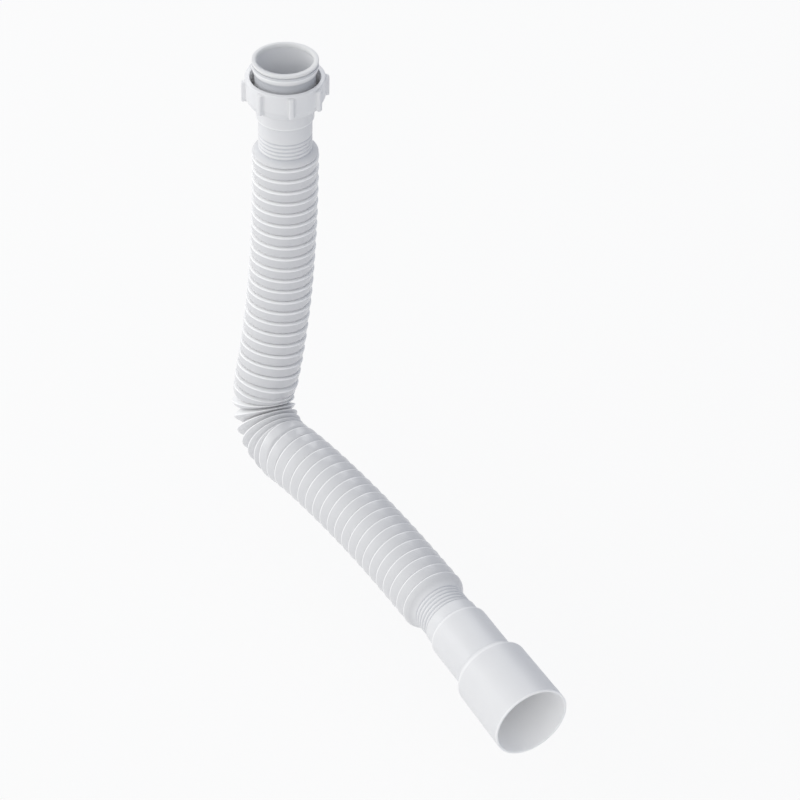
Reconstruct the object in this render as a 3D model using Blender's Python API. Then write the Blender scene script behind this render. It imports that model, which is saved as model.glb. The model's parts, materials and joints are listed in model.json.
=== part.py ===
"""Flexible corrugated waste pipe: union nut inlet, bellows hose, stepped outlet.

The hose hangs from its inlet seal, turns through a right angle and runs out level.
Metres, +Z up.  The origin is the centre of the seal's top face, the inlet runs
down -Z and the outlet leg runs towards +X.

The pipe is one blow-moulded tube.  Its wall is a profile of stations, each a
distance along the centreline and a radius, swept along the hose's route.
"""

import math
from typing import NamedTuple, Optional

import bmesh
import bpy
from mathutils import Vector

# Inlet cuff
NECK_R = 0.0195
NECK_LENGTH = 0.0212
NECK_TAPER_LENGTH = 0.0040
MIDDLE_INSET = 0.0009
MIDDLE_LENGTH = 0.0073
MIDDLE_STEP_LENGTH = 0.0010
THROAT_INSET = 0.0012
THROAT_LENGTH = 0.0105
CUFF_WALL = 0.0015

# Seal ring
SEAL_BORE_CLEARANCE = 0.0003
SEAL_WIDTH = 0.0030
SEAL_THICKNESS = 0.0025
SEAL_EDGE = 0.0006
SEAL_GAP = 0.0003

# Collar under the seal
COLLAR_PROUD = 0.0005
COLLAR_BAND_LENGTH = 0.0037
COLLAR_CONE_LENGTH = 0.0028
COLLAR_EDGE = 0.0005

# Fine ribs at both ends
RIB_PITCH = 0.0028
RIB_DEPTH = 0.0009
INLET_RIBS = 4
OUTLET_RIBS = 5

# Bellows
BELLOWS_VALLEY_R = 0.0173
BELLOWS_DEPTH = 0.0045
BELLOWS_HEEL_DROP = 0.0014
BELLOWS_PITCH = 0.00855
BELLOWS_COUNT = 49
BEND_FIRST_FOLD = 20
BEND_FOLDS = 8
BEND_PITCH = 0.00776
BEND_FLATTENING = 0.0030
MOST_FLATTENED = 0.15
SHOULDER_RUN = 0.0012
HEEL_RUN = 0.0011
LEAD_DOME_LENGTH = 0.0048
LEAD_SHOULDER_RUN = 0.0024
LAST_HEEL_RUN = 0.0034
BELLOWS_WALL = 0.0009

# Outlet cuff
OUTLET_STEP_R = 0.0182
OUTLET_STEP_LENGTH = 0.0092
SMALL_SLEEVE_R = 0.0200
SMALL_SLEEVE_CHAMFER = 0.0018
SMALL_SLEEVE_LENGTH = 0.0350
SLEEVE_CONE_LENGTH = 0.0055
LARGE_SLEEVE_R = 0.0250
LARGE_SLEEVE_FLARE = 0.0006
LARGE_SLEEVE_LENGTH = 0.0480

# Union nut
NUT_THREAD_CLEARANCE = 0.0011
NUT_WALL = 0.0028
NUT_FOOT_INSET = 0.0021
NUT_HEIGHT = 0.0177
NUT_FOOT_TAPER = 0.0045
NUT_TOP_CHAMFER = 0.0008
NUT_TOP_DEPTH = 0.0123
NUT_FLANGE_THICKNESS = 0.0032
NUT_RUNNING_GAP = 0.0004
LUG_COUNT = 8
LUG_STANDOUT = 0.0025
LUG_WIDTH = 0.0030
LUG_TOP_SLOPE = 0.0014
LUG_TOP_DROP = 0.0010
LUG_FOOT_RISE = 0.0006
LUG_FIRST_ANGLE = math.radians(-21.0)

# Route of the hose's centreline
# Each stretch turns evenly to its end direction.  FALL is the angle from
# straight down towards +X, SWAY the angle out of the upright plane towards +Y.
STRAIGHT_LENGTH = 0.072
LEAN_LENGTH = 0.087
LEAN_FALL = math.radians(0.7)
LEAN_SWAY = math.radians(-4.5)
BELLY_LENGTH = 0.077
BELLY_FALL = math.radians(4.1)
BELLY_SWAY = math.radians(-13.4)
TUCK_LENGTH = 0.014
TUCK_FALL = math.radians(-2.8)
TUCK_SWAY = math.radians(-11.6)
BEND_LENGTH = 0.056
BEND_MIDDLE_FALL = math.radians(60.1)
BEND_MIDDLE_SWAY = math.radians(-4.7)
BEND_END_FALL = math.radians(100.9)
BEND_END_SWAY = math.radians(3.1)
LIFT_LENGTH = 0.016
LIFT_FALL = math.radians(89.4)
LIFT_SWAY = math.radians(7.6)
SETTLE_LENGTH = 0.023
SETTLE_FALL = math.radians(86.3)
SETTLE_SWAY = math.radians(6.8)
RUN_LENGTH = 0.085
RUN_FALL = math.radians(86.2)
RUN_SWAY = math.radians(1.5)
TAIL_LENGTH = 0.080
TAIL_FALL = math.radians(87.6)
TAIL_SWAY = math.radians(-1.9)

# Mesh fineness
PIPE_SIDES = 18
NUT_SIDES_PER_LUG = 3
RING_SIDES = 32
ROUTE_STEP = 0.0005


# Sizes that follow from the driving ones
MIDDLE_R = NECK_R - MIDDLE_INSET
THROAT_R = MIDDLE_R - THROAT_INSET
MOUTH_DEPTH = SEAL_THICKNESS + SEAL_GAP
SEAL_BORE_R = NECK_R - CUFF_WALL + SEAL_BORE_CLEARANCE
SEAL_OUTER_R = SEAL_BORE_R + SEAL_WIDTH
COLLAR_R = SEAL_OUTER_R + COLLAR_PROUD
NUT_BORE_R = COLLAR_R + NUT_THREAD_CLEARANCE
NUT_BODY_R = NUT_BORE_R + NUT_WALL
NUT_FOOT_R = NUT_BODY_R - NUT_FOOT_INSET
LUG_OUTER_R = NUT_BODY_R + LUG_STANDOUT


class Station(NamedTuple):
    """One ring of the wall: its distance, radius and, on a fold, the fold's centre."""

    distance: float
    radius: float
    fold: Optional[float] = None


def clear_scene():
    """Remove every object, mesh and material that the file opens with."""
    for old in list(bpy.data.objects):
        bpy.data.objects.remove(old, do_unlink=True)
    for old in list(bpy.data.meshes):
        bpy.data.meshes.remove(old)
    for old in list(bpy.data.materials):
        bpy.data.materials.remove(old)


def make_material(name, colour, roughness):
    """Return a plain plastic with the given colour and roughness."""
    material = bpy.data.materials.new(name)
    material.use_nodes = True
    shader = material.node_tree.nodes["Principled BSDF"]
    shader.inputs["Base Color"].default_value = (*colour, 1.0)
    shader.inputs["Roughness"].default_value = roughness
    shader.inputs["Metallic"].default_value = 0.0
    material.diffuse_color = (*colour, 1.0)
    return material


class Route:
    """The hose's centreline, walked in short steps from the inlet."""

    def __init__(self, total_length):
        self.knots = [(0.0, 0.0, 0.0)]
        self.add(STRAIGHT_LENGTH, 0.0, 0.0)
        self.add(LEAN_LENGTH, LEAN_FALL, LEAN_SWAY)
        self.add(BELLY_LENGTH, BELLY_FALL, BELLY_SWAY)
        self.add(TUCK_LENGTH, TUCK_FALL, TUCK_SWAY)
        self.add(BEND_LENGTH / 2.0, BEND_MIDDLE_FALL, BEND_MIDDLE_SWAY)
        self.add(BEND_LENGTH / 2.0, BEND_END_FALL, BEND_END_SWAY)
        self.add(LIFT_LENGTH, LIFT_FALL, LIFT_SWAY)
        self.add(SETTLE_LENGTH, SETTLE_FALL, SETTLE_SWAY)
        self.add(RUN_LENGTH, RUN_FALL, RUN_SWAY)
        self.add(TAIL_LENGTH, TAIL_FALL, TAIL_SWAY)
        self.points = [Vector((0.0, 0.0, 0.0))]
        steps = math.ceil((total_length + ROUTE_STEP) / ROUTE_STEP)
        for index in range(steps):
            heading = self.heading((index + 0.5) * ROUTE_STEP)
            self.points.append(self.points[-1] + heading * ROUTE_STEP)

    def add(self, length, fall, sway):
        """Add a stretch of the given length that ends in this direction."""
        self.knots.append((self.knots[-1][0] + length, fall, sway))

    def angles(self, distance):
        """Return the fall and sway angles at a distance along the route."""
        previous = self.knots[0]
        for knot in self.knots[1:]:
            if distance <= knot[0]:
                share = (distance - previous[0]) / (knot[0] - previous[0])
                share = max(share, 0.0)
                fall = previous[1] + (knot[1] - previous[1]) * share
                sway = previous[2] + (knot[2] - previous[2]) * share
                return fall, sway
            previous = knot
        return previous[1], previous[2]

    def heading(self, distance):
        """Return the unit vector that points along the route."""
        fall, sway = self.angles(distance)
        across = math.cos(sway)
        return Vector((math.sin(fall) * across, math.sin(sway), -math.cos(fall) * across))

    def place(self, distance):
        """Return the centre and the two cross axes at a distance along the route."""
        index = min(int(distance / ROUTE_STEP), len(self.points) - 2)
        share = distance / ROUTE_STEP - index
        centre = self.points[index].lerp(self.points[index + 1], share)
        fall = self.angles(distance)[0]
        first = Vector((math.cos(fall), 0.0, math.sin(fall)))
        second = self.heading(distance).cross(first)
        return centre, first, second

    def bending(self, distance):
        """Return the curvature vector of the fold centred at this distance."""
        half = BELLOWS_PITCH / 2.0
        return (self.heading(distance + half) - self.heading(distance - half)) / BELLOWS_PITCH

    def ring(self, station, sides):
        """Return the points of one ring.

        A ring of a fold moves with the fold's centre, so a fold keeps its moulded
        width on the outside of a bend and is squeezed on the inside.  Any other
        ring stands square to the route at its own distance.  A tight bend pulls
        the tube flat across it.
        """
        hub = station.distance if station.fold is None else station.fold
        centre, first, second = self.place(hub)
        along = self.heading(hub) * (station.distance - hub)
        bending = self.bending(hub)
        flattened = min(BEND_FLATTENING * bending.length, MOST_FLATTENED)
        across = bending.normalized()
        points = []
        for index in range(sides):
            angle = 2.0 * math.pi * index / sides
            offset = (first * math.cos(angle) + second * math.sin(angle)) * station.radius
            offset -= across * offset.dot(across) * flattened
            squeeze = min(1.0, 1.0 - offset.dot(bending))
            points.append(centre + offset + along * squeeze)
        return points


def fine_ribs(start, count, crest_r):
    """Return the stations of a row of fine ribs, ending in a groove."""
    stations = []
    for index in range(count):
        base = start + index * RIB_PITCH
        stations.append(Station(base + 0.25 * RIB_PITCH, crest_r - RIB_DEPTH))
        stations.append(Station(base + 0.75 * RIB_PITCH, crest_r))
    stations.append(Station(start + (count + 0.25) * RIB_PITCH, crest_r - RIB_DEPTH))
    return stations


def inlet_cuff():
    """Return the outer and inner stations from the mouth to the first fold."""
    neck_start = MOUTH_DEPTH + COLLAR_BAND_LENGTH + COLLAR_CONE_LENGTH
    neck_end = neck_start + NECK_LENGTH
    middle_start = neck_end + NECK_TAPER_LENGTH
    middle_end = middle_start + MIDDLE_LENGTH
    throat_start = middle_end + MIDDLE_STEP_LENGTH
    throat_end = throat_start + THROAT_LENGTH
    outer = [
        Station(MOUTH_DEPTH, COLLAR_R - COLLAR_EDGE),
        Station(MOUTH_DEPTH + COLLAR_EDGE, COLLAR_R),
        Station(MOUTH_DEPTH + COLLAR_BAND_LENGTH, COLLAR_R),
        Station(neck_start, NECK_R),
        Station(neck_end, NECK_R),
        Station(middle_start, MIDDLE_R),
        Station(middle_end, MIDDLE_R),
        Station(throat_start, THROAT_R),
        Station(throat_end, THROAT_R),
    ]
    outer.extend(fine_ribs(throat_end, INLET_RIBS, THROAT_R))
    end = outer[-1].distance
    inner = [
        Station(MOUTH_DEPTH, NECK_R - CUFF_WALL),
        Station(neck_end, NECK_R - CUFF_WALL),
        Station(middle_start, MIDDLE_R - CUFF_WALL),
        Station(middle_end - CUFF_WALL / 2.0, MIDDLE_R - CUFF_WALL),
        Station(throat_start, THROAT_R - CUFF_WALL),
        Station(end, BELLOWS_VALLEY_R - CUFF_WALL),
    ]
    return outer, inner, end


def bellows(start):
    """Return the outer and inner stations of the lead dome and all the folds."""
    crest_r = BELLOWS_VALLEY_R + BELLOWS_DEPTH
    heel_r = crest_r - BELLOWS_HEEL_DROP
    cavity_r = heel_r - BELLOWS_WALL
    at = start + LEAD_DOME_LENGTH
    outer = [
        Station(start + LEAD_SHOULDER_RUN, crest_r),
        Station(at - HEEL_RUN, heel_r),
    ]
    inner = [Station(start + LEAD_DOME_LENGTH / 2.0, cavity_r)]
    for index in range(BELLOWS_COUNT):
        bent = BEND_FIRST_FOLD <= index < BEND_FIRST_FOLD + BEND_FOLDS
        pitch = BEND_PITCH if bent else BELLOWS_PITCH
        heel_run = LAST_HEEL_RUN if index == BELLOWS_COUNT - 1 else HEEL_RUN
        fold = at + pitch / 2.0
        outer.append(Station(at, BELLOWS_VALLEY_R))
        outer.append(Station(at + SHOULDER_RUN, crest_r, fold))
        outer.append(Station(at + pitch - heel_run, heel_r, fold))
        inner.append(Station(at, BELLOWS_VALLEY_R - BELLOWS_WALL))
        inner.append(Station(fold, cavity_r))
        at += pitch
    return outer, inner, at


def outlet_cuff(start):
    """Return the outer and inner stations of the ribs, the step and both sleeves."""
    outer = fine_ribs(start, OUTLET_RIBS, THROAT_R)
    groove_r = THROAT_R - RIB_DEPTH - BELLOWS_WALL
    at = outer[-1].distance
    inner = [Station(start, groove_r), Station(at, groove_r)]
    outer.append(Station(at + RIB_DEPTH, OUTLET_STEP_R))
    inner.append(Station(at + CUFF_WALL, OUTLET_STEP_R - CUFF_WALL))
    stretches = (
        (OUTLET_STEP_LENGTH, OUTLET_STEP_R),
        (SMALL_SLEEVE_CHAMFER, SMALL_SLEEVE_R),
        (SMALL_SLEEVE_LENGTH, SMALL_SLEEVE_R),
        (SLEEVE_CONE_LENGTH, LARGE_SLEEVE_R - LARGE_SLEEVE_FLARE),
    )
    for length, radius in stretches:
        at += length
        outer.append(Station(at, radius))
        inner.append(Station(at + CUFF_WALL / 2.0, radius - CUFF_WALL))
    at += LARGE_SLEEVE_LENGTH
    outer.append(Station(at, LARGE_SLEEVE_R))
    inner.append(Station(at, LARGE_SLEEVE_R - CUFF_WALL))
    return outer, inner, at


def pipe_profile():
    """Return the outer stations, the inner stations and the pipe's full length."""
    outer, inner, at = inlet_cuff()
    for section in (bellows, outlet_cuff):
        more_outer, more_inner, at = section(at)
        outer.extend(more_outer)
        inner.extend(more_inner)
    return outer, inner, at


def loft_closed(name, rings):
    """Return a mesh whose rings are bridged in a closed loop, like a tube's wall."""
    mesh = bmesh.new()
    loops = []
    for ring in rings:
        loops.append([mesh.verts.new(point) for point in ring])
    sides = len(loops[0])
    for index, loop in enumerate(loops):
        following = loops[(index + 1) % len(loops)]
        for side in range(sides):
            other = (side + 1) % sides
            corners = (loop[side], loop[other], following[other], following[side])
            mesh.faces.new(corners)
    bmesh.ops.recalc_face_normals(mesh, faces=mesh.faces)
    data = bpy.data.meshes.new(name)
    mesh.to_mesh(data)
    mesh.free()
    return data


def add_object(name, data, material, parent=None):
    """Link a mesh as an object with its material, shaded smooth but for its edges."""
    data.materials.append(material)
    data.shade_smooth()
    data.set_sharp_from_angle(angle=math.radians(35.0))
    made = bpy.data.objects.new(name, data)
    bpy.context.scene.collection.objects.link(made)
    made.parent = parent
    return made


def build_pipe(material, parent):
    """Sweep the pipe's wall along its route, outside first and back inside."""
    outer, inner, total = pipe_profile()
    route = Route(total)
    rings = [route.ring(station, PIPE_SIDES) for station in outer + inner[::-1]]
    return add_object("waste_pipe", loft_closed("waste_pipe", rings), material, parent)


def turned_ring(section, sides):
    """Return the rings of a section of (radius, z) points turned about Z."""
    rings = []
    for radius, height in section:
        ring = []
        for index in range(sides):
            angle = 2.0 * math.pi * index / sides
            ring.append(Vector((radius * math.cos(angle), radius * math.sin(angle), height)))
        rings.append(ring)
    return rings


def build_seal(material, parent):
    """Turn the soft ring that seals the inlet against the waste outlet."""
    low = -SEAL_THICKNESS
    section = [
        (SEAL_BORE_R + SEAL_EDGE, 0.0),
        (SEAL_OUTER_R - SEAL_EDGE, 0.0),
        (SEAL_OUTER_R, -SEAL_EDGE),
        (SEAL_OUTER_R, low + SEAL_EDGE / 2.0),
        (SEAL_OUTER_R - SEAL_EDGE / 2.0, low),
        (SEAL_BORE_R, low),
        (SEAL_BORE_R, -SEAL_EDGE),
    ]
    data = loft_closed("inlet_seal", turned_ring(section, RING_SIDES))
    return add_object("inlet_seal", data, material, parent)


def nut_ring(height, body_r, lug_r):
    """Return one ring of the nut, where the lugs stand out to their own radius."""
    points = []
    for lug in range(LUG_COUNT):
        centre = LUG_FIRST_ANGLE + 2.0 * math.pi * lug / LUG_COUNT
        half = LUG_WIDTH / 2.0
        root = math.asin(half / NUT_BODY_R)
        tip = math.asin(half / max(lug_r, body_r))
        reach = max(lug_r, body_r)
        for radius, angle in ((body_r, -root), (reach, -tip), (reach, tip), (body_r, root)):
            if radius == body_r and lug_r <= body_r:
                angle = math.copysign(root * 1.02, angle)
            points.append(polar(radius, centre + angle, height))
        span = 2.0 * math.pi / LUG_COUNT - 2.0 * root
        for index in range(1, NUT_SIDES_PER_LUG + 1):
            angle = centre + root + span * index / (NUT_SIDES_PER_LUG + 1)
            points.append(polar(body_r, angle, height))
    return points


def polar(radius, angle, height):
    """Return the point at this radius and angle about Z."""
    return Vector((radius * math.cos(angle), radius * math.sin(angle), height))


def build_nut(material, parent):
    """Make the captive union nut with its grip lugs, foot taper and inner flange."""
    foot = -NUT_HEIGHT
    lug_foot = foot + LUG_FOOT_RISE
    taper_top = foot + NUT_FOOT_TAPER
    lug_high = -LUG_TOP_DROP
    flange_top = foot + NUT_FLANGE_THICKNESS
    flange_r = NECK_R + NUT_RUNNING_GAP
    chamfer_r = NUT_BODY_R - NUT_TOP_CHAMFER
    lug_shoulder = lug_high - LUG_TOP_SLOPE
    share = (lug_foot - foot) / NUT_FOOT_TAPER
    lug_foot_body_r = NUT_FOOT_R + (NUT_BODY_R - NUT_FOOT_R) * share
    rings = [
        nut_ring(0.0, chamfer_r, 0.0),
        nut_ring(-NUT_TOP_CHAMFER, NUT_BODY_R, 0.0),
        nut_ring(lug_high, NUT_BODY_R, NUT_BODY_R + 0.0001),
        nut_ring(lug_shoulder, NUT_BODY_R, LUG_OUTER_R),
        nut_ring(taper_top, NUT_BODY_R, LUG_OUTER_R),
        nut_ring(lug_foot, lug_foot_body_r, LUG_OUTER_R),
        nut_ring(foot, NUT_FOOT_R, 0.0),
        nut_ring(foot, flange_r, 0.0),
        nut_ring(flange_top, flange_r, 0.0),
        nut_ring(flange_top, NUT_BORE_R, 0.0),
        nut_ring(0.0, NUT_BORE_R, 0.0),
    ]
    made = add_object("union_nut", loft_closed("union_nut", rings), material, parent)
    made.location = (0.0, 0.0, -NUT_TOP_DEPTH)
    return made


def main():
    """Build the pipe, its seal and its union nut under one empty."""
    clear_scene()
    frame = bpy.data.objects.new("corrugated_waste_pipe_frame", None)
    bpy.context.scene.collection.objects.link(frame)
    hose_plastic = make_material("hose_plastic", (0.86, 0.865, 0.87), 0.42)
    nut_plastic = make_material("nut_plastic", (0.85, 0.855, 0.86), 0.40)
    seal_rubber = make_material("seal_rubber", (0.84, 0.845, 0.85), 0.50)
    build_seal(seal_rubber, frame)
    build_pipe(hose_plastic, frame)
    build_nut(nut_plastic, frame)


main()
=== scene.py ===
"""Dressed scene of a flexible corrugated waste pipe on a plain pale floor.

The pipe hangs from its inlet seal, turns through a right angle and runs out level
to a stepped outlet.  Everything is in metres, +Z up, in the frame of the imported
part: the origin is the centre of the seal's top face.
"""

from __future__ import annotations

import json
import logging
import math
from dataclasses import dataclass, field, replace
from enum import Enum
from typing import Callable, Mapping, Optional, Sequence, Union

import bpy
import numpy as np
from mathutils import Euler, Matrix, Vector

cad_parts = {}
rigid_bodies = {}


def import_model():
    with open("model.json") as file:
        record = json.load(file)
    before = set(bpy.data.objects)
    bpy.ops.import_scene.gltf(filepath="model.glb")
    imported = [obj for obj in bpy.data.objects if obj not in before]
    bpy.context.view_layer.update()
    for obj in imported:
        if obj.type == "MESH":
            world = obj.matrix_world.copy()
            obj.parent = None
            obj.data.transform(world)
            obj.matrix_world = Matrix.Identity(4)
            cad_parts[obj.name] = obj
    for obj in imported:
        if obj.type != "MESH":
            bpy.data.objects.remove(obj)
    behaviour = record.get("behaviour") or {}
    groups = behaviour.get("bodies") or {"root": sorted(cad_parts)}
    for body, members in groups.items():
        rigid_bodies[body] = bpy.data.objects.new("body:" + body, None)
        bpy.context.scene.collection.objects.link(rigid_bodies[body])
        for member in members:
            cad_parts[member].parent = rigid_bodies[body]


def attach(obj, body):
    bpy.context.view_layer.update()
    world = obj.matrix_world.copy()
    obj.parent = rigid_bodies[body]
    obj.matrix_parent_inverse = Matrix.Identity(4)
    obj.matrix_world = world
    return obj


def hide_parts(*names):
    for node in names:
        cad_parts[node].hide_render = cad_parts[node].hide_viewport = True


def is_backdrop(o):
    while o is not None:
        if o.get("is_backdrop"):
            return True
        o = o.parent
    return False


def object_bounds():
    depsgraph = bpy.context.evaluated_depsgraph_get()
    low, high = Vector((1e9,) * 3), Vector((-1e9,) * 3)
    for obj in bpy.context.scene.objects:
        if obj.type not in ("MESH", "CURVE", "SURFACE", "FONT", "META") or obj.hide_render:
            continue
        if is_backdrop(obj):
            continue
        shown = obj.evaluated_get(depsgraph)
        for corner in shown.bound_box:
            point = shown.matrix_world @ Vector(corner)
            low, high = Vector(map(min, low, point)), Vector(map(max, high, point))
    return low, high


LOG = logging.getLogger("corrugated_waste_pipe")

Colour = tuple[float, float, float]
Curve = tuple[tuple[float, float], ...]
Operand = Union[float, "Signal"]
Input = Union[float, Sequence[float], "Signal", bpy.types.NodeSocket]


class Body(Enum):
    """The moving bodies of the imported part."""

    HOSE = "hose"
    NUT = "nut"


class Signal:
    """A number in a shader that takes part in ordinary arithmetic."""

    def __init__(self, shading: "Shading", socket: bpy.types.NodeSocket) -> None:
        """Wrap one output socket.

        Args:
            shading: The node tree that the socket belongs to.
            socket: The output socket that carries the number.
        """
        self.shading = shading
        self.socket = socket

    def maths(self, operation: str, first: Operand, second: Operand) -> "Signal":
        """Add one Math node.

        Args:
            operation: The node's operation.
            first: Its first operand.
            second: Its second operand.

        Returns:
            The node's result.
        """
        made = self.shading.node(
            "ShaderNodeMath", {"operation": operation}, {0: first, 1: second}
        )
        return Signal(self.shading, made.outputs[0])

    def __add__(self, other: Operand) -> "Signal":
        """Return self + other."""
        return self.maths("ADD", self, other)

    def __radd__(self, other: Operand) -> "Signal":
        """Return other + self."""
        return self.maths("ADD", other, self)

    def __sub__(self, other: Operand) -> "Signal":
        """Return self - other."""
        return self.maths("SUBTRACT", self, other)

    def __rsub__(self, other: Operand) -> "Signal":
        """Return other - self."""
        return self.maths("SUBTRACT", other, self)

    def __mul__(self, other: Operand) -> "Signal":
        """Return self * other."""
        return self.maths("MULTIPLY", self, other)

    def __rmul__(self, other: Operand) -> "Signal":
        """Return other * self."""
        return self.maths("MULTIPLY", other, self)

    def sine(self) -> "Signal":
        """Return the sine of self."""
        return self.maths("SINE", self, 0.0)


class Shading:
    """The node tree of one material or of the world."""

    def __init__(self, tree: bpy.types.NodeTree) -> None:
        """Start from an empty tree.

        Args:
            tree: The node tree to fill.
        """
        self.tree = tree
        tree.nodes.clear()

    def node(
        self,
        kind: str,
        settings: Optional[Mapping[str, object]] = None,
        inputs: Optional[Mapping[Union[str, int], Input]] = None,
    ) -> bpy.types.Node:
        """Add one node.

        Args:
            kind: The node's type.
            settings: Its properties, such as a Math node's operation, set first.
            inputs: A value or a link for each named or numbered socket.

        Returns:
            The new node.
        """
        made = self.tree.nodes.new(kind)
        for name, value in (settings or {}).items():
            setattr(made, name, value)
        for name, value in (inputs or {}).items():
            socket = made.inputs[name]
            if isinstance(value, Signal):
                self.tree.links.new(value.socket, socket)
            elif isinstance(value, bpy.types.NodeSocket):
                self.tree.links.new(value, socket)
            else:
                socket.default_value = value
        return made

    def signal(self, node: bpy.types.Node, output: Union[str, int] = 0) -> Signal:
        """Return one of a node's outputs as a number to calculate with."""
        return Signal(self, node.outputs[output])

    def mix(self, share: Operand, first: Input, second: Input) -> bpy.types.NodeSocket:
        """Mix two colours.

        Args:
            share: How much of the second colour shows.
            first: The colour at a share of 0.
            second: The colour at a share of 1.

        Returns:
            The mixed colour's socket.
        """
        made = self.node(
            "ShaderNodeMix", {"data_type": "RGBA"}, {0: share, 6: first, 7: second}
        )
        return made.outputs[2]

    def attribute(self, name: str) -> Signal:
        """Return one of the mesh's own values."""
        made = self.node("ShaderNodeAttribute", {"attribute_name": name})
        return self.signal(made, "Fac")

    def noise(self, place: bpy.types.NodeSocket, scale: float, detail: float) -> Signal:
        """Return a noise value from 0 to 1.

        Args:
            place: The coordinates it is read at.
            scale: Waves per metre.
            detail: How many finer octaves are added.

        Returns:
            The noise value.
        """
        made = self.node(
            "ShaderNodeTexNoise", None, {"Vector": place, "Scale": scale, "Detail": detail}
        )
        return self.signal(made, 0)


@dataclass(frozen=True)
class MouldedPlastic:
    """A white satin plastic with a faint moulded grain.

    Where its wall is blown thin it looks a little greyer and glossier, and fine
    rings from the mould run round it.  Shade is painted into its grooves, and
    highlights onto its proud edges and rims.

    Attributes:
        name: The material's name.
        colour: The plastic's own colour.
        shade: The cooler, darker colour of the random drifts of tone, also painted into the
            grooves as shade.
        highlight_colour: The lighter colour painted on proud edges and rims as a highlight, and
            in bores as painted light.
        roughness: The mean roughness.
        grain_scale: Grains per metre.
        grain_depth: The grain's height in metres.
        coat: Weight of the glossy skin.
        thin_colour: The colour of a thin wall.
        thin_roughness: The roughness of a thin wall.
        thin_coat: Weight of a thin wall's glossy skin.
        ripple_scale: Slow moulding ripples per metre.
        ripple_depth: Their height in metres.
        ring_pitch: Spacing of the mould's fine rings.
        ring_depth: Their height in metres.
        drift_scale: Slow drifts of tone per metre.
        groove_shade_share: How much of the shade is painted into a full groove.
        drift_tint: How much of it the drift takes at most.
        grain_tint: How much of it the grain takes at most.
        drift_gloss: How far the drift moves the roughness.
        grain_gloss: How far the grain moves it.
        ior: The plastic's index of refraction.
        coat_roughness: The roughness of the glossy skin.
    """

    name: str
    colour: Colour
    shade: Colour
    roughness: float
    grain_scale: float
    grain_depth: float
    coat: float
    highlight_colour: Colour = (0.98, 0.98, 0.98)
    thin_colour: Colour = (0.72, 0.72, 0.73)
    thin_roughness: float = 0.30
    thin_coat: float = 0.45
    ripple_scale: float = 120.0
    ripple_depth: float = 0.00003
    ring_pitch: float = 0.0012
    ring_depth: float = 0.000032
    drift_scale: float = 40.0
    groove_shade_share: float = 0.60
    drift_tint: float = 0.07
    grain_tint: float = 0.04
    drift_gloss: float = 0.10
    grain_gloss: float = 0.08
    ior: float = 1.50
    coat_roughness: float = 0.16

    def make(self) -> bpy.types.Material:
        """Return the finished material."""
        material = bpy.data.materials.new(self.name)
        material.use_nodes = True
        shading = Shading(material.node_tree)
        place = shading.node("ShaderNodeTexCoord").outputs["Object"]
        drift = shading.noise(place, self.drift_scale, 2.0)
        grain = shading.noise(place, self.grain_scale, 3.0)
        ripple = shading.noise(place, self.ripple_scale, 2.0)
        groove = shading.attribute("groove")
        thin = shading.attribute("thin")
        wave = (shading.attribute("run") * (2.0 * math.pi / self.ring_pitch)).sine()
        # Painted shade: grooves take the shade colour by their groove value; the drift and the
        # grain add random tone.
        share = groove * self.groove_shade_share + drift * self.drift_tint + grain * self.grain_tint
        plain = shading.mix(thin, (*self.colour, 1.0), (*self.thin_colour, 1.0))
        # Painted highlight: where groove is below 0, proud edges, rims and bores are lifted
        # towards the highlight colour.
        highlighted = shading.mix(0.0 - groove, plain, (*self.highlight_colour, 1.0))
        colour = shading.mix(share, highlighted, (*self.shade, 1.0))
        gloss = self.roughness + thin * (self.thin_roughness - self.roughness)
        gloss = gloss + (drift - 0.5) * self.drift_gloss + (grain - 0.5) * self.grain_gloss
        skin = self.coat + thin * (self.thin_coat - self.coat)
        rings = wave * thin * self.ring_depth
        height = grain * self.grain_depth + ripple * self.ripple_depth + rings
        bump = shading.node(
            "ShaderNodeBump", None, {"Strength": 1.0, "Distance": 1.0, "Height": height}
        )
        surface = shading.node(
            "ShaderNodeBsdfPrincipled",
            None,
            {
                "Base Color": colour,
                "Roughness": gloss,
                "Normal": bump.outputs[0],
                "Metallic": 0.0,
                "IOR": self.ior,
                "Coat Weight": skin,
                "Coat Roughness": self.coat_roughness,
            },
        )
        shading.node("ShaderNodeOutputMaterial", None, {"Surface": surface.outputs[0]})
        return material


HOSE_PLASTIC = MouldedPlastic(
    name="hose_satin_plastic",
    colour=(0.835, 0.835, 0.84),
    shade=(0.50, 0.52, 0.56),
    roughness=0.46,
    grain_scale=2600.0,
    grain_depth=0.000005,
    coat=0.08,
)

NUT_PLASTIC = MouldedPlastic(
    name="nut_hard_plastic",
    colour=(0.855, 0.855, 0.86),
    shade=(0.50, 0.53, 0.60),
    roughness=0.42,
    grain_scale=3200.0,
    grain_depth=0.000004,
    coat=0.10,
)

SEAL_RUBBER = MouldedPlastic(
    name="seal_soft_rubber",
    colour=(0.87, 0.87, 0.86),
    shade=(0.58, 0.60, 0.64),
    roughness=0.55,
    grain_scale=3600.0,
    grain_depth=0.000006,
    coat=0.03,
)


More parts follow.
